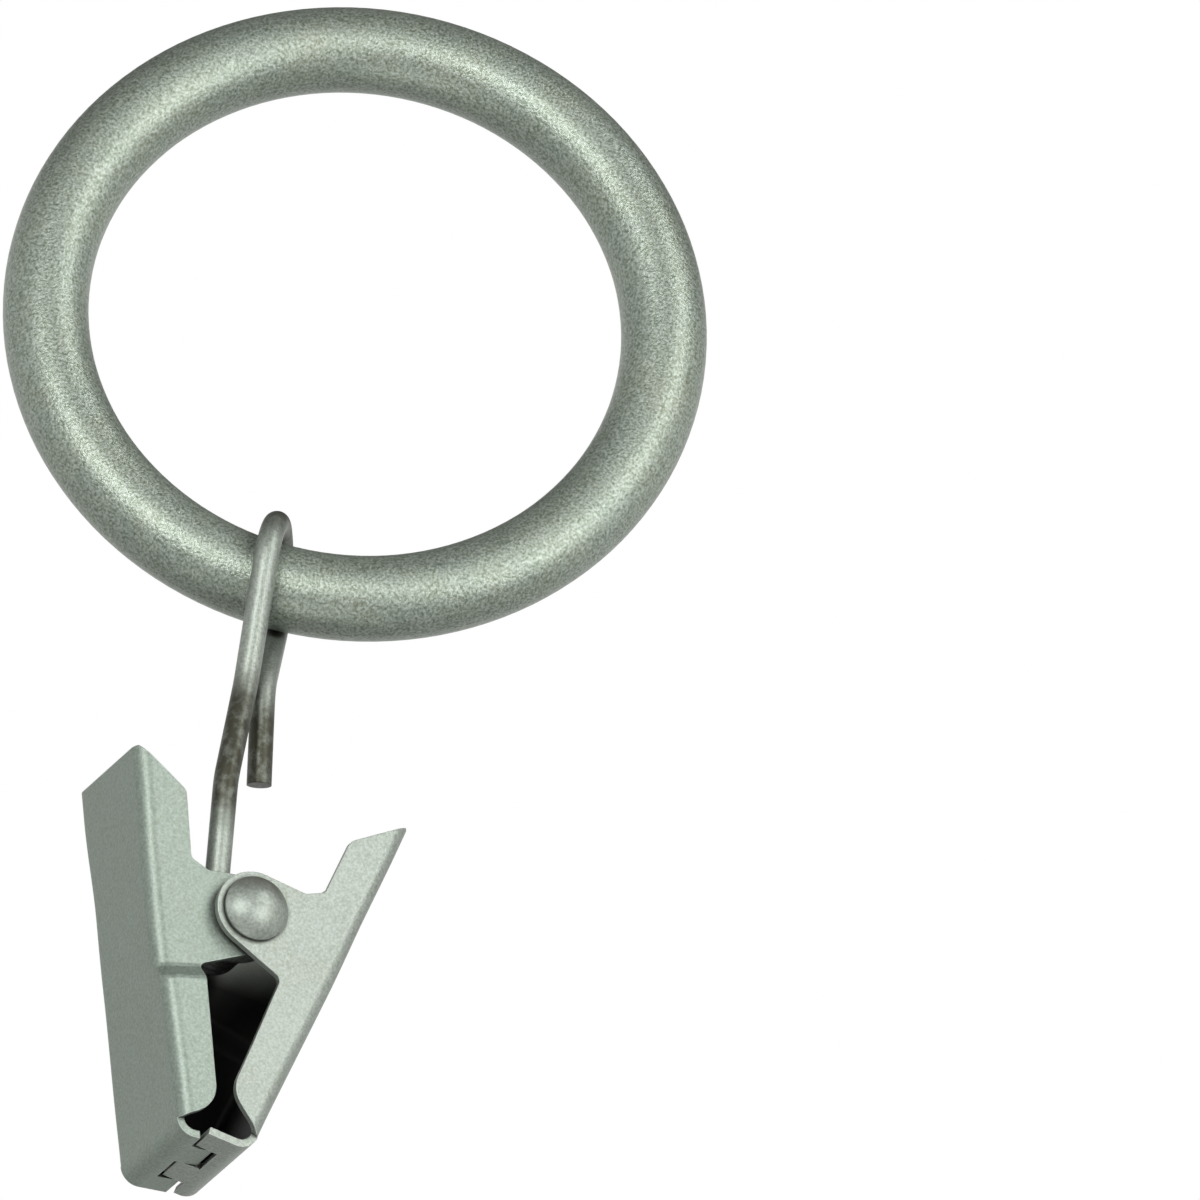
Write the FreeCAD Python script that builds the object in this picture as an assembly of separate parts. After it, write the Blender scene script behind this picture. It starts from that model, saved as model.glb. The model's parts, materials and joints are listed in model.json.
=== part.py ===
"""Curtain ring with a hanging clip, in millimetres.

The ring's centre is the origin and its axis is Y, the direction of the curtain rod. A wire hook hangs
on the bottom of the ring, and its lower eye carries the rivet of a spring clip. The clip is two
pressed-steel jaws, one turned half a turn about the upright line through the rivet.
"""
import FreeCAD, Part
import math
import os
from FreeCAD import Placement, Rotation, Vector

# Ring
RING_INSIDE = 32.0
RING_WIRE = 5.14

# Wire hook
HOOK_WIRE = 1.5
HOOK_SLACK = 0.28              # between the crook and the ring's tube
HOOK_FROM_BOTTOM = 6.0         # degrees round the ring, towards -X
CROOK_YAW = -8.0               # degrees about Z, from the plane across the ring
CROOK_EASE = 0.96              # share of the crook's tangent radius that its corners are bent to
WAIST_BELOW = 7.68             # from the tube's centre down to where the hook's legs come together
SHANK_LENGTH = 15.4            # from the waist down to the rivet
SHANK_BEND = 4.0
FOOT_HEIGHT = 1.2              # the shank starts straight from the eye, up to its first slight bend
ELBOW_HEIGHT = 8.7             # second slight bend of the shank, above the rivet
ELBOW_LEFT = 0.6
ELBOW_FORWARD = 0.6
ELBOW_BEND = 5.0
TAIL_BEHIND = 1.25             # from the shank to the tail, at the waist
TAIL_BESIDE = 1.05
TAIL_HIGHER = 0.6
TAIL_BEND = 2.5
TAIL_RUN = 5.75                # height of the flared tail below the waist
TAIL_FLARE_BACK = 1.4
TAIL_FLARE_SIDE = 0.9
SHANK_LEAN = 1.2               # degrees to the left of the clip's upright line
EYE_SWEEP = 265.0              # degrees of wire round the rivet

# Clip as a whole: where the rivet's middle hangs, and how the clip is turned
CLIP_LEFT = 0.41
CLIP_BACK = 1.48
CLIP_YAW = 18.2
CLIP_PITCH = 2.4
CLIP_LEAN = 2.75

# Pressed jaws, each in its own upright frame with the back plate facing +X
SHEET = 0.45
FOLD_RADIUS = 0.9
JAW_TILT = 14.4
PLATE_REACH = 6.4              # rivet axis to the back plate's outer face
PLATE_TAPER = 0.44             # the plate's lower end stands this much further in
LEFT_HANDLE = 10.4             # top of the left jaw's handle
RIGHT_HANDLE = 9.85
JAW_BOTTOM = 13.2              # the cheeks end and the lip's bend starts here
EAR_HALF = 4.8                 # mid-plane to the outer ear's outer face
EAR_RADIUS = 2.4
EAR_GAP = 0.4                  # between the two ears of one side
EAR_MARGIN = 0.15              # flat of the ear round the rivet's head
HANDLE_STEP = 0.5              # outer ear out to the handle's flange
HANDLE_STEP_RUN = 6.4
HANDLE_SPREAD = 0.2            # inner ear out to the other flange
CHEEK_FLARE = 0.6              # outer ear out to the lower cheek
CHEEK_FLARE_RUN = 9.0
JOGGLE_START = 3.3
JOGGLE_END = 4.6
FLANGE_DEPTH = 2.95            # handle flanges, from the plate's outer face
FLANGE_ROUND = 0.6
FLANGE_CHAMFER = 2.8           # height of the flange's slanted top
RIGHT_REAR_CHAMFER = 4.4       # the right jaw's rear flange is cut back further
OUTER_CHEEK = 3.2              # lower cheek on the outer ear's side, from the plate's outer face
LEFT_INNER_CHEEK = 2.87
RIGHT_INNER_CHEEK = 3.5        # deeper, so that no light passes right through the window
OUTER_NOSE = 11.6              # start of the cheek's slanted nose, below the rivet, on the outer ear's side
INNER_NOSE = 12.5
NOSE_ROUND = 1.8
OUTER_WINDOW = 3.15            # top of the window between the cheeks, on the outer ear's side
LEFT_INNER_WINDOW = 3.3
RIGHT_INNER_WINDOW = 5.6       # lower, for the same reason
WINDOW_ROUND = 0.5
SHOULDER_HEIGHT = 3.4          # where a flange meets the ear
SHOULDER_ROUND = 0.4
NECK_OFFSET = 2.4
NECK_HEIGHT = 2.65

# Bite: lips bent in from the back plates, with interleaved fingers
LIP_BEND = 1.2
LIP_TURN = 82.0
LIP_FINGER = 1.78              # straight run of a finger past the bend
LIP_INSET = 0.65               # the lip's ends, from the cheeks' outer faces
FINGER_PITCH = 2.6
FINGER_SLIT = 0.14
FINGER_ROOT = 1.38             # notch's root, from the plate's outer face

# Rivet and spring
RIVET_WIRE = 1.6
RIVET_PLAY = 0.05
HEAD_DIAMETER = 4.0
HEAD_HEIGHT = 1.15
TAIL_DIAMETER = 3.2
TAIL_HEIGHT = 0.6
RIM_SHARE = 0.2                # of an end's height
EYE_OFFSET = -2.12             # the hook's eye along the rivet, from the mid-plane
EYE_SLACK = 0.1
SPRING_WIRE = 0.7
SPRING_SLACK = 0.25
SPRING_PITCH = 0.75
SPRING_TURNS = 3
SPRING_START = -0.35
SPRING_LEG_HEIGHT = 5.2        # where a leg bears on the handle, in the jaw's frame
SPRING_SEAT = 0.08             # between a leg's end and the handle

# Worked-out sizes
ring_radius = (RING_INSIDE + RING_WIRE) / 2
crook_radius = (RING_WIRE + HOOK_WIRE) / 2 + HOOK_SLACK
eye_radius = (RIVET_WIRE + HOOK_WIRE) / 2 + EYE_SLACK
joggle = SHEET + EAR_GAP
inner_ear_half = EAR_HALF - joggle
ear_flat = HEAD_DIAMETER / 2 + EAR_MARGIN
handle_step_end = ear_flat + HANDLE_STEP_RUN
cheek_flare_end = ear_flat + CHEEK_FLARE_RUN
hook_angle = math.radians(HOOK_FROM_BOTTOM)
crook_centre = Vector(-math.sin(hook_angle), 0, -math.cos(hook_angle)) * ring_radius
clip_turn = (Rotation(Vector(0, 0, 1), CLIP_YAW)
             * Rotation(Vector(1, 0, 0), CLIP_PITCH)
             * Rotation(Vector(0, 1, 0), -CLIP_LEAN))
clip_height = crook_centre.z - WAIST_BELOW - SHANK_LENGTH
clip_place = Placement(Vector(-CLIP_LEFT, CLIP_BACK, clip_height), clip_turn)
jaw_place = Placement(Vector(0, 0, 0), Rotation(Vector(0, 1, 0), JAW_TILT))
half_turn = Placement(Vector(0, 0, 0), Rotation(Vector(0, 0, 1), 180))


def ease(value, start, end):
    """Smooth 0 to 1 as value goes from start to end."""
    share = min(1.0, max(0.0, (value - start) / (end - start)))
    return share * share * (3 - 2 * share)


def rounded_edges(points, radii):
    """Straight edges along the points, with a tangent arc of the given radius at each inner point."""
    edges = []
    start = points[0]
    for before, corner, after, radius in zip(points, points[1:], points[2:], radii):
        back = (before - corner).normalize()
        ahead = (after - corner).normalize()
        half = back.getAngle(ahead) / 2
        run = radius / math.tan(half)
        inward = (back + ahead).normalize() * (radius / math.sin(half) - radius)
        edges.append(Part.LineSegment(start, corner + back * run).toShape())
        edges.append(Part.Arc(corner + back * run, corner + inward, corner + ahead * run).toShape())
        start = corner + ahead * run
    edges.append(Part.LineSegment(start, points[-1]).toShape())
    return edges


def swept_wire(edges, diameter):
    """A round wire of one diameter along joined edges."""
    path = Part.Wire(edges)
    first = path.OrderedEdges[0]
    heading = first.tangentAt(first.FirstParameter)
    start = first.valueAt(first.FirstParameter)
    section = Part.Wire(Part.makeCircle(diameter / 2, start, heading))
    return path.makePipeShell([section], True, False)


def make_ring():
    return Part.makeTorus(ring_radius, RING_WIRE / 2, Vector(0, 0, 0), Vector(0, 1, 0))


def crook_corner(waist, side):
    """Where the tangent from the waist to the crook's round meets the level tangent on its top.

    The waist is given in the crook's plane, as (back, up) from the tube's centre, and side is -1 for
    the front leg and 1 for the back leg.
    """
    back, up = waist
    distance = math.hypot(back, up)
    lean = math.asin(crook_radius / distance) - math.atan2(side * back, -up)
    return side * (side * back + (crook_radius - up) * math.tan(lean))


def make_hook():
    """Eye round the rivet, straight shank, crook over the ring's tube, and a flared tail."""
    eye_centre = Vector(0, EYE_OFFSET, 0)

    def on_eye(degrees):
        angle = math.radians(180 + SHANK_LEAN + degrees)
        return eye_centre + Vector(math.cos(angle), 0, math.sin(angle)) * eye_radius

    eye_points = [clip_place.multVec(on_eye(EYE_SWEEP * share)) for share in (1, 0.5, 0)]
    lean = math.radians(SHANK_LEAN)
    along = Vector(-math.sin(lean), 0, math.cos(lean))
    waist = clip_place.multVec(on_eye(0) + along * SHANK_LENGTH)
    foot = clip_place.multVec(on_eye(0) + along * FOOT_HEIGHT)
    elbow = clip_place.multVec(on_eye(0) + along * ELBOW_HEIGHT - Vector(ELBOW_LEFT, ELBOW_FORWARD, 0))
    tail_waist = waist + Vector(TAIL_BESIDE, TAIL_BEHIND, TAIL_HIGHER)
    tail_end = tail_waist + Vector(TAIL_FLARE_SIDE, TAIL_FLARE_BACK, -TAIL_RUN)

    backwards = Rotation(Vector(0, 0, 1), CROOK_YAW).multVec(Vector(0, 1, 0))
    upwards = Vector(0, 0, 1)
    front, rear = [((point - crook_centre).dot(backwards), (point - crook_centre).dot(upwards))
                   for point in (waist, tail_waist)]
    crook_top = crook_centre + upwards * crook_radius
    top_front = crook_top + backwards * crook_corner(front, -1)
    top_rear = crook_top + backwards * crook_corner(rear, 1)

    route = [eye_points[2], foot, elbow, waist, top_front, top_rear, tail_waist, tail_end]
    crook_bend = crook_radius * CROOK_EASE
    edges = [Part.Arc(*eye_points).toShape()]
    bends = [ELBOW_BEND, ELBOW_BEND, SHANK_BEND, crook_bend, crook_bend, TAIL_BEND]
    edges += rounded_edges(route, bends)
    return swept_wire(edges, HOOK_WIRE)


def plate_reach(level):
    """The back plate's outer face at a level above the rivet, in the jaw's frame."""
    return PLATE_REACH - PLATE_TAPER * ease(-level, 0, JAW_BOTTOM)


def outer_side(level):
    """Mid-plane to the outer face on the side of the jaw's outer ear."""
    handle = HANDLE_STEP * ease(level, ear_flat, handle_step_end)
    cheek = CHEEK_FLARE * ease(-level, ear_flat, cheek_flare_end)
    return EAR_HALF + handle + cheek


def inner_side(level):
    """Mid-plane to the outer face on the side of the jaw's inner ear, which is set in by a joggle."""
    handle = HANDLE_SPREAD * ease(level, ear_flat, handle_step_end)
    cheek = joggle * ease(-level, JOGGLE_START, JOGGLE_END)
    return inner_ear_half + handle + cheek


def channel_section(level):
    """Closed outline of the folded sheet at one level: a back plate between two cheeks."""
    reach = plate_reach(level)
    open_end = -EAR_RADIUS - SHEET
    low = -outer_side(level)
    high = inner_side(level)

    def path(inset):
        points = [Vector(open_end, low + inset, level),
                  Vector(reach - inset, low + inset, level),
                  Vector(reach - inset, high - inset, level),
                  Vector(open_end, high - inset, level)]
        radius = FOLD_RADIUS - inset
        return rounded_edges(points, [radius, radius])

    outside = path(0)
    inside = path(SHEET)
    ends = [Part.LineSegment(Vector(open_end, edge, level), Vector(open_end, edge + inward, level)).toShape()
            for edge, inward in ((low, SHEET), (high, -SHEET))]
    return Part.Wire(Part.__sortEdges__(outside + inside + ends))


def tangent_point(point, turn):
    """Where the line from a point touches the ear's round, on the side that turn gives."""
    away = math.atan2(point.z, point.x)
    spread = math.acos(EAR_RADIUS / math.hypot(point.x, point.z))
    angle = away + turn * spread
    return Vector(math.cos(angle), 0, math.sin(angle)) * EAR_RADIUS


def cheek_outline(handle_top, chamfer, cheek_depth, window_top, nose):
    """Side view of a jaw's cheek: handle flange, ear round the rivet, and lower cheek with its nose."""
    outside = PLATE_REACH + SHEET
    flange = PLATE_REACH - FLANGE_DEPTH
    cheek = PLATE_REACH - cheek_depth
    chamfer_start = PLATE_REACH - SHEET / 2
    nose_end = chamfer_start - SHEET
    neck = Vector(NECK_OFFSET, 0, NECK_HEIGHT)
    window = Vector(cheek, 0, -window_top)
    ear_top = tangent_point(neck, 1)
    ear_bottom = tangent_point(window, -1)

    upper = [Vector(outside, 0, handle_top),
             Vector(chamfer_start, 0, handle_top),
             Vector(flange, 0, handle_top - chamfer),
             Vector(flange, 0, SHOULDER_HEIGHT),
             neck,
             ear_top]
    lower = [ear_bottom,
             window,
             Vector(cheek, 0, -nose),
             Vector(nose_end, 0, -JAW_BOTTOM),
             Vector(outside, 0, -JAW_BOTTOM)]
    slight = SHEET / 4
    edges = rounded_edges(upper, [slight, FLANGE_ROUND, SHOULDER_ROUND, SHOULDER_ROUND])
    edges.append(Part.Arc(ear_top, Vector(-EAR_RADIUS, 0, 0), ear_bottom).toShape())
    edges += rounded_edges(lower, [WINDOW_ROUND, NOSE_ROUND, slight])
    edges.append(Part.LineSegment(lower[-1], upper[0]).toShape())
    return Part.Face(Part.Wire(edges))


def make_lip():
    """Sheet bent in from the bottom of the back plate, with notches between its fingers."""
    reach = plate_reach(-JAW_BOTTOM)
    low = -outer_side(-JAW_BOTTOM) + LIP_INSET
    high = inner_side(-JAW_BOTTOM) - LIP_INSET
    centre = Vector(reach - LIP_BEND, low, -JAW_BOTTOM)

    def on_bend(degrees, radius):
        angle = math.radians(degrees)
        return centre + Vector(math.cos(angle), 0, -math.sin(angle)) * radius

    turn = math.radians(LIP_TURN)
    finger = Vector(-math.sin(turn), 0, -math.cos(turn)) * LIP_FINGER
    inside = LIP_BEND - SHEET
    outer_bend = [on_bend(LIP_TURN * share, LIP_BEND) for share in (0, 0.5, 1)]
    inner_bend = [on_bend(LIP_TURN * share, inside) for share in (1, 0.5, 0)]
    outline = Part.Wire([
        Part.Arc(*outer_bend).toShape(),
        Part.LineSegment(outer_bend[2], outer_bend[2] + finger).toShape(),
        Part.LineSegment(outer_bend[2] + finger, inner_bend[0] + finger).toShape(),
        Part.LineSegment(inner_bend[0] + finger, inner_bend[0]).toShape(),
        Part.Arc(*inner_bend).toShape(),
        Part.LineSegment(inner_bend[2], outer_bend[0]).toShape(),
    ])
    lip = Part.Face(outline).extrude(Vector(0, high - low, 0))

    notch_length = LIP_BEND + LIP_FINGER
    for first in (-FINGER_PITCH, FINGER_PITCH):
        corner = Vector(reach - FINGER_ROOT - notch_length, first - FINGER_SLIT / 2,
                        -JAW_BOTTOM - notch_length)
        notch = Part.makeBox(notch_length, FINGER_PITCH + FINGER_SLIT, notch_length, corner)
        lip = lip.cut(notch)
    return lip


def make_jaw(handle_top, inner_chamfer, inner_cheek, inner_window):
    """One jaw in its own frame: outer ear on the -Y side, joggled inner ear on the +Y side."""
    bends = [(handle_top + SHEET, handle_step_end, 2),
             (handle_step_end, ear_flat, 8),
             (ear_flat, -JOGGLE_START, 3),
             (-JOGGLE_START, -JOGGLE_END, 5),
             (-JOGGLE_END, -cheek_flare_end, 6),
             (-cheek_flare_end, -JAW_BOTTOM, 2)]
    levels = [start + (end - start) * step / count for start, end, count in bends for step in range(count)]
    levels.append(-JAW_BOTTOM)
    channel = Part.makeLoft([channel_section(level) for level in levels], True, True)

    half = EAR_HALF + HANDLE_STEP + CHEEK_FLARE
    outer = cheek_outline(handle_top, FLANGE_CHAMFER, OUTER_CHEEK, OUTER_WINDOW, OUTER_NOSE)
    inner = cheek_outline(handle_top, inner_chamfer, inner_cheek, inner_window, INNER_NOSE)
    kept = outer.extrude(Vector(0, -half, 0)).fuse(inner.extrude(Vector(0, half, 0)))
    trimmed = channel.common(kept)
    hole = Part.makeCylinder(RIVET_WIRE / 2 + RIVET_PLAY, 2 * half, Vector(0, -half, 0), Vector(0, 1, 0))
    return trimmed.cut(hole).fuse(make_lip()).removeSplitter()


def domed_end(seat, diameter, height, facing):
    """Half outline of a low domed end: its crown on the axis, then the edges out to its rim and seat."""
    radius = diameter / 2
    rim = height * RIM_SHARE
    dome = height - rim
    sphere = (radius ** 2 + dome ** 2) / (2 * dome)
    halfway = math.asin(radius / sphere) / 2
    drop = sphere * (1 - math.cos(halfway))
    crown = Vector(0, seat + facing * height, 0)
    on_dome = Vector(sphere * math.sin(halfway), seat + facing * (height - drop), 0)
    dome_edge = Vector(radius, seat + facing * rim, 0)
    seat_edge = Vector(radius, seat, 0)
    on_shank = Vector(RIVET_WIRE / 2, seat, 0)
    edges = [Part.Arc(crown, on_dome, dome_edge).toShape(),
             Part.LineSegment(dome_edge, seat_edge).toShape(),
             Part.LineSegment(seat_edge, on_shank).toShape()]
    return crown, edges, on_shank


def make_rivet():
    """Domed head in front, round shank, and a low peened end behind."""
    seat = EAR_HALF + RIVET_PLAY
    head_crown, head, shank_front = domed_end(-seat, HEAD_DIAMETER, HEAD_HEIGHT, -1)
    tail_crown, tail, shank_rear = domed_end(seat, TAIL_DIAMETER, TAIL_HEIGHT, 1)
    shank = Part.LineSegment(shank_front, shank_rear).toShape()
    axis = Part.LineSegment(tail_crown, head_crown).toShape()
    outline = Part.Wire(Part.__sortEdges__(head + [shank] + tail + [axis]))
    return Part.Face(outline).revolve(Vector(0, 0, 0), Vector(0, 1, 0), 360)


def make_spring():
    """Torsion coil on the rivet, with a straight leg under each handle."""
    radius = (RIVET_WIRE + SPRING_WIRE) / 2 + SPRING_SLACK
    bearing = plate_reach(SPRING_LEG_HEIGHT) - SHEET - SPRING_WIRE / 2 - SPRING_SEAT
    tip = jaw_place.multVec(Vector(bearing, 0, SPRING_LEG_HEIGHT))
    reach = math.hypot(tip.x, tip.z)
    leg = math.sqrt(reach ** 2 - radius ** 2)
    start_angle = math.atan2(tip.z, tip.x) - math.acos(radius / reach)
    sweep = 2 * math.pi * SPRING_TURNS + math.pi + 2 * start_angle
    rise = SPRING_PITCH / (2 * math.pi)

    def on_coil(turned):
        angle = start_angle - turned
        place = Vector(math.cos(angle), 0, math.sin(angle)) * radius
        return place + Vector(0, SPRING_START + rise * turned, 0)

    def heading(turned):
        angle = start_angle - turned
        return Vector(radius * math.sin(angle), rise, -radius * math.cos(angle)).normalize()

    coil = Part.makeHelix(SPRING_PITCH, rise * sweep, radius)
    coil.Placement = Placement(Vector(0, SPRING_START, 0),
                               Rotation(on_coil(0) - Vector(0, SPRING_START, 0), Vector(0, 0, 0),
                                        Vector(0, 1, 0), "ZXY"))
    near_leg = Part.LineSegment(on_coil(0) - heading(0) * leg, on_coil(0)).toShape()
    far_leg = Part.LineSegment(on_coil(sweep), on_coil(sweep) + heading(sweep) * leg).toShape()
    return swept_wire([near_leg] + coil.Edges + [far_leg], SPRING_WIRE)


def main():
    os.makedirs("parts", exist_ok=True)
    right_jaw = make_jaw(RIGHT_HANDLE, RIGHT_REAR_CHAMFER, RIGHT_INNER_CHEEK, RIGHT_INNER_WINDOW)
    left_jaw = make_jaw(LEFT_HANDLE, FLANGE_CHAMFER, LEFT_INNER_CHEEK, LEFT_INNER_WINDOW)
    nodes = {
        "ring": (make_ring(), Placement()),
        "wire_hook": (make_hook(), Placement()),
        "pivot_rivet": (make_rivet(), clip_place),
        "torsion_spring": (make_spring(), clip_place),
        "right_jaw": (right_jaw, clip_place * jaw_place),
        "left_jaw": (left_jaw, clip_place * half_turn * jaw_place),
    }
    for name, (shape, place) in nodes.items():
        solid = shape.copy()
        solid.Placement = place * solid.Placement
        solid.exportStep(f"parts/{name}.step")
        print(name, solid.isValid(), len(solid.Solids), len(solid.Faces), round(solid.Volume, 2))


main()
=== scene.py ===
"""Looks of a curtain ring with a clip: satin plated metal in soft light, seen as in the photograph."""

import json
import math

import bpy
from mathutils import Matrix, Vector


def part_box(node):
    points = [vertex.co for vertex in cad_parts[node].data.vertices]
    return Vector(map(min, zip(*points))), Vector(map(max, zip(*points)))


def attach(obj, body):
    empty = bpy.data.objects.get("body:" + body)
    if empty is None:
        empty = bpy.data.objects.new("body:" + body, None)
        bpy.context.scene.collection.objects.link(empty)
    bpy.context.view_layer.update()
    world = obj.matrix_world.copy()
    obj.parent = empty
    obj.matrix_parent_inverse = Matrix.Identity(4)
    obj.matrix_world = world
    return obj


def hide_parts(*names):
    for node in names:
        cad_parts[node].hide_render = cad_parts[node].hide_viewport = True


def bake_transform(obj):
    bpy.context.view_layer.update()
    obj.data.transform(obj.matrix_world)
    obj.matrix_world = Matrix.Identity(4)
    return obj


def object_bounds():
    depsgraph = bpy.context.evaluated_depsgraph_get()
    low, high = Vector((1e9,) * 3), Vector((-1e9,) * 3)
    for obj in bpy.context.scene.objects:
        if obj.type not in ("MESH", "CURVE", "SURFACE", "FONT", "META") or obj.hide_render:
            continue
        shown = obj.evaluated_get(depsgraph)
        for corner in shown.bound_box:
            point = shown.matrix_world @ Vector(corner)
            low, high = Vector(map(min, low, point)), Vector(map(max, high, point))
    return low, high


MM = 0.001

# View: the camera looks up at the ring, a little rolled
VIEW_ELEVATION = -28.1
VIEW_ROLL = 11.22
VIEW_DISTANCE = 3.0
VIEW_END = 20.0
PICTURE_WIDTH = 71.8 * MM
RING_FROM_MIDDLE = (-14.66 * MM, 16.54 * MM)    # the ring's centre, right of and above the picture's middle
SENSOR = 36.0

# Floor, far below the part
FLOOR_HEIGHT = -1.6
FLOOR_SIZE = 6.0
FLOOR_COLOUR = (0.86, 0.86, 0.86, 1)
FLOOR_ROUGHNESS = 0.9
FLOOR_GLOW = 0.45              # brings the distant floor up to the pale background

# Light, placed in the camera's own directions: right, up and towards the camera
SKY_LIGHT = 0.20
WALL_LIGHT = 1.0
CEILING_LIGHT = 0.12
CEILING_RISE = (0.53, 0.66)    # sines of the heights between which white walls turn into the dim ceiling
LAMPS = {
    "right": {"place": (0.42, 0.08, 0.47), "size": 0.36, "watts": 2.2},
    "upper": {"place": (-0.16, 0.30, 0.54), "size": 0.28, "watts": 2.4},
    "side": {"place": (0.45, 0.42, 0.16), "size": 0.30, "watts": 1.5},
    "low": {"place": (-0.15, -0.50, 0.40), "size": 0.30, "watts": 1.1},
}

# Sockets of a mix node that are for colours
MIX_COLOURS = slice(6, 8)
MIXED_COLOUR = 2

# Plating: a fine grain and wide clouds, with the ranges of their noise that the tones are spread over
METALLIC = 0.55
SPECULAR = 0.2
GRAIN = 0.17 * MM
GRAIN_RANGE = (0.33, 0.67)
GRAIN_HEIGHT = GRAIN / 4
CLOUD = 3.0 * MM
CLOUD_RANGE = (0.35, 0.75)
WAVE = 2.6 * MM                # unevenness of the pressed and plated faces
WAVE_HEIGHT = 0.03 * MM
EDGE_ROUND = 0.12 * MM
EDGE_TURNED = (0.03, 0.20)     # how far a face turns within that round, from plain to rubbed bright with a painted highlight
# Painted shade: creases, rims and narrow gaps darkened to near black from ambient occlusion
CREASE_PAINTED_SHADE = (0.05, 0.052, 0.042)
CREASE_SHADE_REACH = 0.5 * MM         # how near two faces lie where painted shade darkens the crease between them
CREASE_SHADE_OPEN = (0.86, 0.50)      # how open a crease is, from no painted shade to full painted shade
CREASE_SHADE_SAMPLES = 8

# Tarnish and painted shade: mottled brown patches in bands that darken where the hook and the rivet's top
# lie in shade, each with its middle height from the ring's centre, half height and fade
SPOT = 0.7 * MM
SPOT_RANGE = (-0.05, 0.55)
HOOK_TARNISH_AND_SHADE = (0.050, 0.050, 0.036)
HOOK_SHADE_BANDS = ((-31.2 * MM, 5.9 * MM, 2.6 * MM), (-14.2 * MM, 3.4 * MM, 2.8 * MM))
RIVET_TARNISH_AND_SHADE = (0.13, 0.125, 0.10)
RIVET_SHADE_BANDS = ((-39.4 * MM, 1.8 * MM, 1.5 * MM),)

# Inside of the clip: dull steel between the handles, and painted shade, nearly black, in the closed cavity
# below
DULL_INSIDE = (0.26, 0.28, 0.25)
CAVITY_PAINTED_SHADE = (0.020, 0.021, 0.019)
SHADE_DEPTHS = (2.0 * MM, -1.5 * MM)     # heights from the rivet between which dull steel turns to painted shade
INSIDE = (1.2 * MM, 1.8 * MM)      # how far a face looks towards its jaw's middle, from outside to inside

# Tones of each finish: the grain's pale and dark ends, the warm clouds and the rubbed edges, whose bright
# tone is partly wear and partly a painted highlight
RING_TONES = {
    "pale": (0.370, 0.415, 0.366), "dark": (0.125, 0.158, 0.120), "warm": (0.140, 0.156, 0.104),
    "edge_wear_and_highlight": (0.41, 0.45, 0.41), "rough": (0.33, 0.42), "relief": 0.35,
}
PLATED_TONES = {
    "pale": (0.325, 0.357, 0.322), "dark": (0.203, 0.232, 0.198), "warm": (0.198, 0.212, 0.178),
    "edge_wear_and_highlight": (0.58, 0.62, 0.575), "rough": (0.40, 0.48), "relief": 0.12,
}
# Painted shade: a darker, greener copy of the jaw plating, for the left jaw that gets less light
LEFT_JAW_SHADED_TONES = {
    "pale": (0.270, 0.318, 0.278), "dark": (0.173, 0.210, 0.177), "warm": (0.172, 0.195, 0.158),
    "edge_wear_and_highlight": (0.51, 0.56, 0.515), "rough": (0.42, 0.50), "relief": 0.12,
}
SPRING_TONES = {
    "pale": (0.24, 0.24, 0.235), "dark": (0.14, 0.14, 0.14), "warm": (0.15, 0.145, 0.13),
    "edge_wear_and_highlight": (0.26, 0.26, 0.25), "rough": (0.36, 0.44), "relief": 0.10,
}

# Torsion spring, in the clip's own frame: X to the right handle, Y along the rivet, Z up
CLIP_TURN = {"Z": 18.2, "X": 2.4, "Y": -2.75}    # degrees, one after the other about the clip's own axes
SPRING_WIRE = 0.7 * MM
SPRING_RADIUS = 1.4 * MM
SPRING_PITCH = 0.75 * MM
SPRING_TURNS = 3
SPRING_START = -0.35 * MM
SPRING_TIP = (6.64 * MM, 3.664 * MM)    # the right leg's end, right of the rivet and above it
SPRING_BURR = 0.12 * MM        # chamfer of a leg's cut end
WIRE_SIDES = 14
LEG_PARTS = 6
TURN_PARTS = 32
SHARP_EDGE = 30.0              # degrees


def view_directions():
    """The camera's right, up and forward directions in the row frame."""
    rise = math.radians(VIEW_ELEVATION)
    roll = math.radians(VIEW_ROLL)
    level = Vector((1, 0, 0))
    forward = Vector((0, math.cos(rise), -math.sin(rise)))
    upright = level.cross(forward)
    right = level * math.cos(roll) + upright * math.sin(roll)
    up = upright * math.cos(roll) - level * math.sin(roll)
    return right, up, forward


def turned_to_view(place, right, up, forward):
    """A matrix at a place, whose own axes are the view's right, up and backward directions."""
    turn = Matrix((right, up, -forward)).transposed().to_4x4()
    return Matrix.Translation(place) @ turn


def add_camera():
    """A long lens, which sees the ring where the photograph has it."""
    right, up, forward = view_directions()
    across, above = RING_FROM_MIDDLE
    middle = -right * across - up * above
    data = bpy.data.cameras.new("camera")
    data.sensor_width = SENSOR
    data.lens = SENSOR * VIEW_DISTANCE / PICTURE_WIDTH
    data.clip_end = VIEW_END
    camera = bpy.data.objects.new("camera", data)
    camera.matrix_world = turned_to_view(middle - forward * VIEW_DISTANCE, right, up, forward)
    bpy.context.scene.collection.objects.link(camera)
    bpy.context.scene.camera = camera


def add_lamps(middle):
    """Soft square lamps round the part's middle, all turned to it."""
    right, up, forward = view_directions()
    for name, lamp in LAMPS.items():
        across, above, near = lamp["place"]
        offset = right * across + up * above - forward * near
        data = bpy.data.lights.new(name, "AREA")
        data.size = lamp["size"]
        data.energy = lamp["watts"]
        light = bpy.data.objects.new(name, data)
        aim = offset.to_track_quat("Z", "Y").to_matrix().to_4x4()
        light.matrix_world = Matrix.Translation(middle + offset) @ aim
        bpy.context.scene.collection.objects.link(light)


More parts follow.
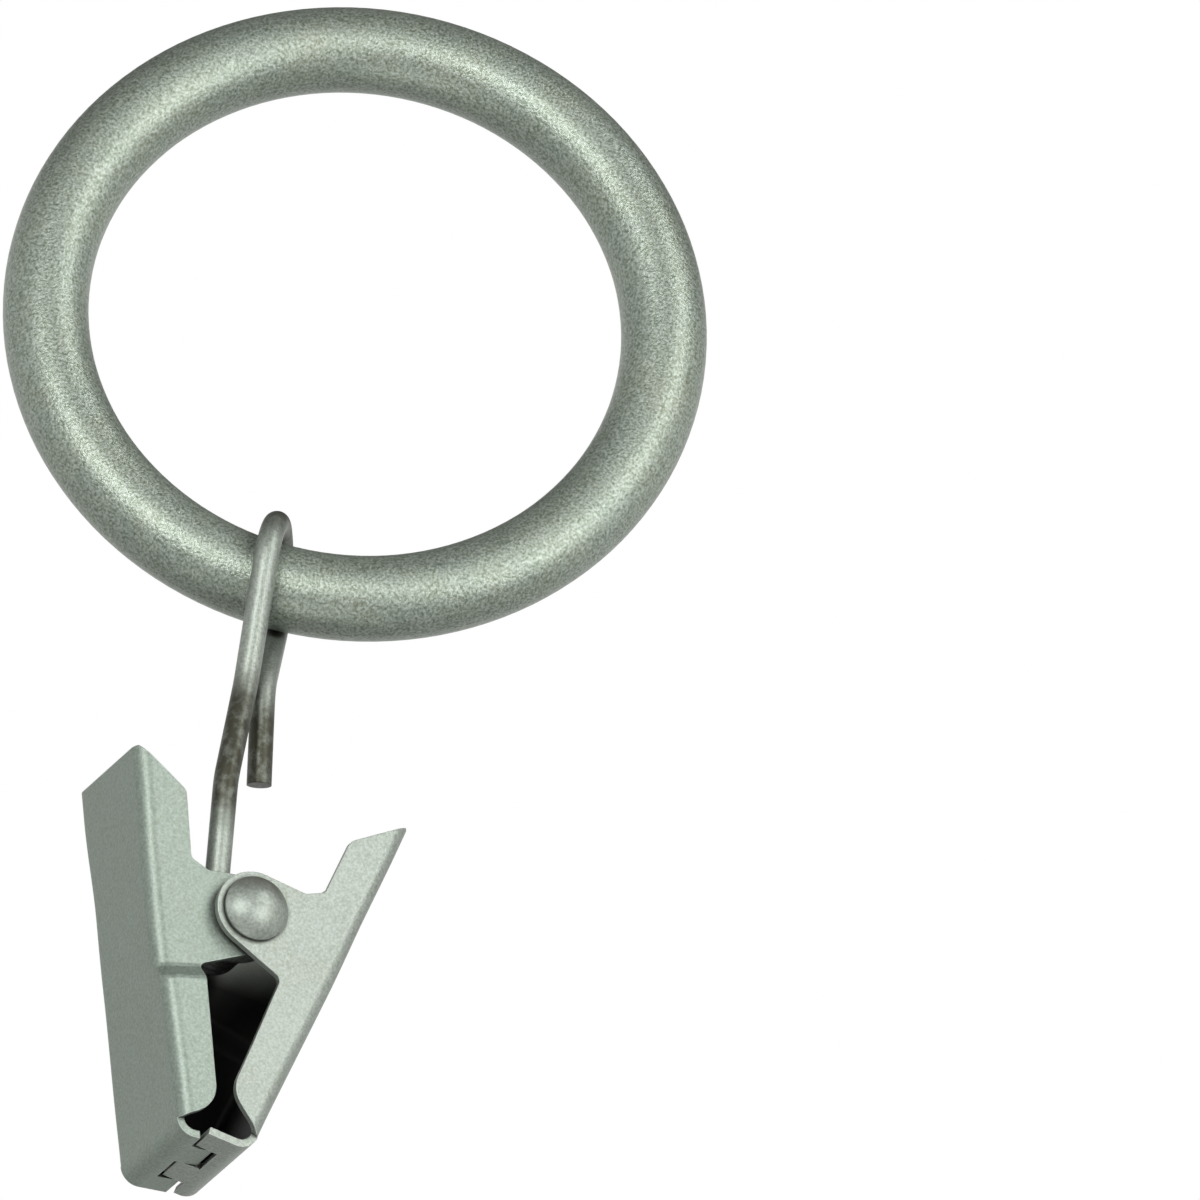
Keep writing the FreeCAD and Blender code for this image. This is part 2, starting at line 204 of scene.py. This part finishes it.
def show_white(tree, shader_strength, low, high):
    """Give a strength its high value where a surface is seen or mirrored, and its low value elsewhere."""
    path = tree.nodes.new("ShaderNodeLightPath")
    share = path.outputs["Is Camera Ray"]
    for ray in ("Is Glossy Ray", "Is Transmission Ray"):
        either = tree.nodes.new("ShaderNodeMath")
        either.operation = "MAXIMUM"
        tree.links.new(share, either.inputs[0])
        tree.links.new(path.outputs[ray], either.inputs[1])
        share = either.outputs[0]
    strength = tree.nodes.new("ShaderNodeMapRange")
    strength.inputs["To Min"].default_value = low
    strength.inputs["To Max"].default_value = high
    tree.links.new(share, strength.inputs["Value"])
    tree.links.new(strength.outputs["Result"], shader_strength)


def add_world():
    """A white room with a dim ceiling, which lights the part less than it shows."""
    world = bpy.data.worlds.new("studio")
    world.use_nodes = True
    bpy.context.scene.world = world
    sky = world.node_tree.nodes["Background"]
    show_white(world.node_tree, sky.inputs["Strength"], SKY_LIGHT, WALL_LIGHT)
    way = world.node_tree.nodes.new("ShaderNodeTexCoord")
    height = world.node_tree.nodes.new("ShaderNodeSeparateXYZ")
    ceiling = world.node_tree.nodes.new("ShaderNodeMapRange")
    numbers = zip(("From Min", "From Max", "To Min", "To Max"), (*CEILING_RISE, WALL_LIGHT, CEILING_LIGHT))
    for socket, number in numbers:
        ceiling.inputs[socket].default_value = number
    world.node_tree.links.new(way.outputs["Generated"], height.inputs[0])
    world.node_tree.links.new(height.outputs["Z"], ceiling.inputs["Value"])
    world.node_tree.links.new(ceiling.outputs["Result"], sky.inputs["Color"])


def add_floor():
    """A plain pale floor."""
    mesh = bpy.data.meshes.new("floor")
    half = FLOOR_SIZE / 2
    corners = [(-half, -half, FLOOR_HEIGHT), (half, -half, FLOOR_HEIGHT),
               (half, half, FLOOR_HEIGHT), (-half, half, FLOOR_HEIGHT)]
    mesh.from_pydata(corners, [], [(0, 1, 2, 3)])
    floor = bpy.data.objects.new("floor", mesh)
    bpy.context.scene.collection.objects.link(floor)
    material = bpy.data.materials.new("pale_floor")
    material.use_nodes = True
    shader = material.node_tree.nodes["Principled BSDF"]
    shader.inputs["Base Color"].default_value = FLOOR_COLOUR
    shader.inputs["Roughness"].default_value = FLOOR_ROUGHNESS
    shader.inputs["Emission Color"].default_value = (1, 1, 1, 1)
    show_white(material.node_tree, shader.inputs["Emission Strength"], 0.0, FLOOR_GLOW)
    mesh.materials.append(material)


class Finish:
    """A material's node tree, with short calls for the nodes that the finishes share."""

    def __init__(self, name):
        self.material = bpy.data.materials.new(name)
        self.material.use_nodes = True
        self.tree = self.material.node_tree
        self.shader = self.tree.nodes["Principled BSDF"]
        self.place = self.tree.nodes.new("ShaderNodeTexCoord")
        self.face = self.tree.nodes.new("ShaderNodeNewGeometry")

    def node(self, kind, **settings):
        """A new node with its own settings."""
        node = self.tree.nodes.new(kind)
        for key, value in settings.items():
            setattr(node, key, value)
        return node

    def link(self, output, socket):
        self.tree.links.new(output, socket)

    def noise(self, size, detail=2.0, rough=0.5):
        """Even noise with grains of about one size, from 0 to 1."""
        node = self.node("ShaderNodeTexNoise")
        node.inputs["Scale"].default_value = 1 / size
        node.inputs["Detail"].default_value = detail
        node.inputs["Roughness"].default_value = rough
        self.link(self.place.outputs["Object"], node.inputs["Vector"])
        return node.outputs["Fac"]

    def spread(self, value, low, high, to_low=0.0, to_high=1.0):
        """A value moved from one range to another, and kept inside it."""
        node = self.node("ShaderNodeMapRange")
        numbers = {"From Min": low, "From Max": high, "To Min": to_low, "To Max": to_high}
        for socket, number in numbers.items():
            node.inputs[socket].default_value = number
        self.link(value, node.inputs["Value"])
        return node.outputs["Result"]

    def mix(self, share, low, high):
        """A colour between two, each a colour or another node's output."""
        node = self.node("ShaderNodeMix", data_type="RGBA")
        self.link(share, node.inputs["Factor"])
        for socket, colour in zip(node.inputs[MIX_COLOURS], (low, high)):
            if isinstance(colour, tuple):
                socket.default_value = (*colour, 1)
            else:
                self.link(colour, socket)
        return node.outputs[MIXED_COLOUR]

    def math(self, operation, *values):
        """One step of arithmetic on numbers or other nodes' outputs."""
        node = self.node("ShaderNodeMath", operation=operation)
        for socket, value in zip(node.inputs, values):
            if isinstance(value, (int, float)):
                socket.default_value = value
            else:
                self.link(value, socket)
        return node.outputs[0]

    def bump(self, height, strength, distance, normal):
        """A normal tilted by a height that runs from 0 to 1."""
        node = self.node("ShaderNodeBump")
        node.inputs["Strength"].default_value = strength
        node.inputs["Distance"].default_value = distance
        self.link(height, node.inputs["Height"])
        self.link(normal, node.inputs["Normal"])
        return node.outputs["Normal"]

    def vector(self, operation, first, second, output="Vector"):
        """One step of arithmetic on two vectors, each a Vector or another node's output."""
        node = self.node("ShaderNodeVectorMath", operation=operation)
        for socket, value in zip(node.inputs, (first, second)):
            if isinstance(value, Vector):
                socket.default_value = value
            else:
                self.link(value, socket)
        return node.outputs[output]

    def height(self):
        """Height in the row frame, in metres."""
        split = self.node("ShaderNodeSeparateXYZ")
        self.link(self.place.outputs["Object"], split.inputs[0])
        return split.outputs["Z"]

    def paint(self, colour):
        """Take the surface's colour from a node's output."""
        self.link(colour, self.shader.inputs["Base Color"])


def plated_metal(name, pale, dark, warm, edge_wear_and_highlight, rough, relief):
    """Satin plating: a fine grain on a clouded ground, with edges rubbed bright that also carry a painted
    highlight, and painted shade darkening the creases.
    """
    finish = Finish(name)
    grain = finish.spread(finish.noise(GRAIN, detail=3.0, rough=0.6), *GRAIN_RANGE)
    clouds = finish.spread(finish.noise(CLOUD, detail=3.0), *CLOUD_RANGE)
    plating = finish.mix(grain, finish.mix(clouds, dark, warm), pale)

    rounding = finish.node("ShaderNodeBevel")
    rounding.inputs["Radius"].default_value = EDGE_ROUND
    rounded, flat = rounding.outputs["Normal"], finish.face.outputs["Normal"]
    facing = finish.vector("DOT_PRODUCT", rounded, flat, "Value")
    # edges: rubbed bright by wear, and also a painted highlight along folds and cut edges
    rubbed_and_highlit = finish.spread(facing, *(1 - turned for turned in EDGE_TURNED))
    # painted shade: ambient occlusion darkens creases, rims and contact lines
    openness = finish.node("ShaderNodeAmbientOcclusion", samples=CREASE_SHADE_SAMPLES)
    openness.inputs["Distance"].default_value = CREASE_SHADE_REACH
    crease_shade = finish.spread(openness.outputs["AO"], *CREASE_SHADE_OPEN)
    colour = finish.mix(crease_shade, finish.mix(rubbed_and_highlit, plating, edge_wear_and_highlight), CREASE_PAINTED_SHADE)
    finish.paint(colour)

    uneven = finish.bump(finish.noise(WAVE), 1.0, WAVE_HEIGHT, rounded)
    grained = finish.bump(grain, relief, GRAIN_HEIGHT, uneven)
    finish.link(grained, finish.shader.inputs["Normal"])
    finish.link(finish.spread(grain, 0, 1, *rough), finish.shader.inputs["Roughness"])
    finish.shader.inputs["Metallic"].default_value = METALLIC
    finish.shader.inputs["Specular IOR Level"].default_value = SPECULAR
    return finish, colour


def tarnished_and_shaded_metal(name, tones, tarnish_and_shade, shade_bands):
    """The plating, with mottled brown tarnish in bands of height, which also paint shade on the hook's
    shank, tail and crook and the rivet's top.
    """
    finish, colour = plated_metal(name, **tones)
    height = finish.height()
    share = finish.spread(finish.noise(SPOT, detail=3.0, rough=0.6), *SPOT_RANGE)
    in_shade_bands = 0.0
    for middle, half, fade in shade_bands:
        away = finish.math("ABSOLUTE", finish.math("SUBTRACT", height, middle))
        in_shade_bands = finish.math("MAXIMUM", in_shade_bands, finish.spread(away, half, half - fade))
    # tarnish with painted shade: inside the bands the mottled patches turn dark brown
    finish.paint(finish.mix(finish.math("MULTIPLY", in_shade_bands, share), colour, tarnish_and_shade))
    return finish


def pressed_steel(name, tones, middle, rivet_height):
    """A jaw's plating, which thins to dull steel inside the channel, with painted shade darkening it to
    nearly black in the closed cavity.
    """
    finish, colour = plated_metal(name, **tones)
    inward = finish.vector("SUBTRACT", middle, finish.place.outputs["Object"])
    facing = finish.vector("DOT_PRODUCT", inward, finish.place.outputs["Normal"], "Value")
    shade_depth = finish.spread(finish.height(), *(rivet_height + level for level in SHADE_DEPTHS))
    # painted shade: the inside turns nearly black deeper in the cavity
    cavity_shade = finish.mix(shade_depth, DULL_INSIDE, CAVITY_PAINTED_SHADE)
    finish.paint(finish.mix(finish.spread(facing, *INSIDE), colour, cavity_shade))
    return finish


def rivet_place(frame):
    """The rivet's middle, about which the clip sways and its jaws open."""
    return next(Vector(joint["pos_m"]) for joint in frame["joints"] if joint["name"] == "clip_sway")


def paint_frame(frame):
    """Give every CAD node its finish, and say which one each node has."""
    finishes = {
        "ring": plated_metal("plated_ring", **RING_TONES)[0],
        "wire_hook": tarnished_and_shaded_metal("plated_wire", PLATED_TONES, HOOK_TARNISH_AND_SHADE, HOOK_SHADE_BANDS),
        "pivot_rivet": tarnished_and_shaded_metal("plated_rivet", PLATED_TONES, RIVET_TARNISH_AND_SHADE, RIVET_SHADE_BANDS),
        "torsion_spring": plated_metal("drawn_spring", **SPRING_TONES)[0],
    }
    for jaw, tones in (("left_jaw", LEFT_JAW_SHADED_TONES), ("right_jaw", PLATED_TONES)):
        low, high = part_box(jaw)
        finishes[jaw] = pressed_steel(f"pressed_{jaw}", tones, (low + high) / 2, rivet_place(frame).z)
    for node, finish in finishes.items():
        for slot in frame["nodes"][node].material_slots:
            slot.material = finish.material
    return finishes


def wire_mesh(name, path, cut_end, place):
    """A round wire along points of the clip's frame, closed at both ends and chamfered where it is cut."""
    radii = [SPRING_WIRE / 2] * len(path)
    if cut_end is not None:
        radii[cut_end] -= SPRING_BURR
    corners = []
    for index, (middle, radius) in enumerate(zip(path, radii)):
        heading = path[min(index + 1, len(path) - 1)] - path[max(index - 1, 0)]
        heading.normalize()
        across = (Vector((0, 1, 0)) - heading * heading.y).normalized()
        outward = heading.cross(across)
        for side in range(WIRE_SIDES):
            angle = 2 * math.pi * side / WIRE_SIDES
            way = across * math.cos(angle) + outward * math.sin(angle)
            corners.append(place @ (middle + way * radius))
    faces = [tuple(reversed(range(WIRE_SIDES))), tuple(range(len(corners) - WIRE_SIDES, len(corners)))]
    for first in range(0, len(corners) - WIRE_SIDES, WIRE_SIDES):
        for side in range(WIRE_SIDES):
            here, beside = first + side, first + (side + 1) % WIRE_SIDES
            faces.append((here, beside, beside + WIRE_SIDES, here + WIRE_SIDES))
    mesh = bpy.data.meshes.new(name)
    mesh.from_pydata(corners, [], faces)
    mesh.shade_smooth()
    mesh.set_sharp_from_angle(angle=math.radians(SHARP_EDGE))
    return mesh


def spring_runs():
    """The spring's three runs of wire in the clip's frame, each with its cut end, and a leg's root."""
    across, above = SPRING_TIP
    reach = math.hypot(across, above)
    leg = math.sqrt(reach ** 2 - SPRING_RADIUS ** 2)
    start_angle = math.atan2(above, across) - math.acos(SPRING_RADIUS / reach)
    sweep = 2 * math.pi * SPRING_TURNS + math.pi + 2 * start_angle
    end_sweep = math.pi + start_angle
    rise = SPRING_PITCH / (2 * math.pi)

    def on_coil(turned):
        angle = start_angle - turned
        round_rivet = Vector((math.cos(angle), 0, math.sin(angle))) * SPRING_RADIUS
        return round_rivet + Vector((0, SPRING_START + rise * turned, 0))

    def heading(turned):
        angle = start_angle - turned
        round_rivet = Vector((math.sin(angle), 0, -math.cos(angle))) * SPRING_RADIUS
        return (round_rivet + Vector((0, rise, 0))).normalized()

    def coil(first, last):
        parts = round((last - first) / (2 * math.pi) * TURN_PARTS)
        return [on_coil(first + (last - first) * part / parts) for part in range(parts + 1)]

    def straight(root, way):
        lengths = [leg * part / LEG_PARTS for part in range(1, LEG_PARTS)]
        return [root + way * length for length in (*lengths, leg - SPRING_BURR, leg)]

    right_leg = straight(on_coil(0), -heading(0))[::-1]
    left_leg = straight(on_coil(sweep), heading(sweep))
    runs = {
        "spring_coil": (coil(end_sweep, sweep - end_sweep), None),
        "spring_right_end": (right_leg + coil(0, end_sweep), 0),
        "spring_left_end": (coil(sweep - end_sweep, sweep) + left_leg, -1),
    }
    return runs, on_coil(0)


def add_spring(frame, material):
    """The spring as a coil on the rivet, hung on the clip's pivot body, and two ends, which are left in the
    scene and follow no jaw.
    """
    place = Matrix.Translation(rivet_place(frame))
    for axis, degrees in CLIP_TURN.items():
        place = place @ Matrix.Rotation(math.radians(degrees), 4, axis)
    runs, leg_root = spring_runs()
    pieces = {}
    for name, (path, cut_end) in runs.items():
        mesh = wire_mesh(name, path, cut_end, place)
        mesh.materials.append(material)
        piece = bpy.data.objects.new(name, mesh)
        bpy.context.scene.collection.objects.link(piece)
        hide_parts("torsion_spring")
        pieces[name] = piece
    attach(pieces["spring_coil"], "clip_pivot")
    for name, jaw, side in (("spring_right_end", "right_jaw", 1), ("spring_left_end", "left_jaw", -1)):
        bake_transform(pieces[name])


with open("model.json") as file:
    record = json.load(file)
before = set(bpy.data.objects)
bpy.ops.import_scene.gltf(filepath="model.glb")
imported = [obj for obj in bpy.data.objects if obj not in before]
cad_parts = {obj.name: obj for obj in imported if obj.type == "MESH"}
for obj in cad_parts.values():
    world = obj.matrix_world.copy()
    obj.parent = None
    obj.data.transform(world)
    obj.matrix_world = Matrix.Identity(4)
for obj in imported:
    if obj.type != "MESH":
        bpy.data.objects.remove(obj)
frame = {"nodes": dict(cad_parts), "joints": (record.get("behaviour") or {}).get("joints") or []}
cad_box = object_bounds()
low, high = cad_box
finishes = paint_frame(frame)
add_spring(frame, finishes["torsion_spring"].material)
add_camera()
add_lamps((low + high) / 2)
add_world()
add_floor()
bpy.context.scene.view_settings.view_transform = "Standard"
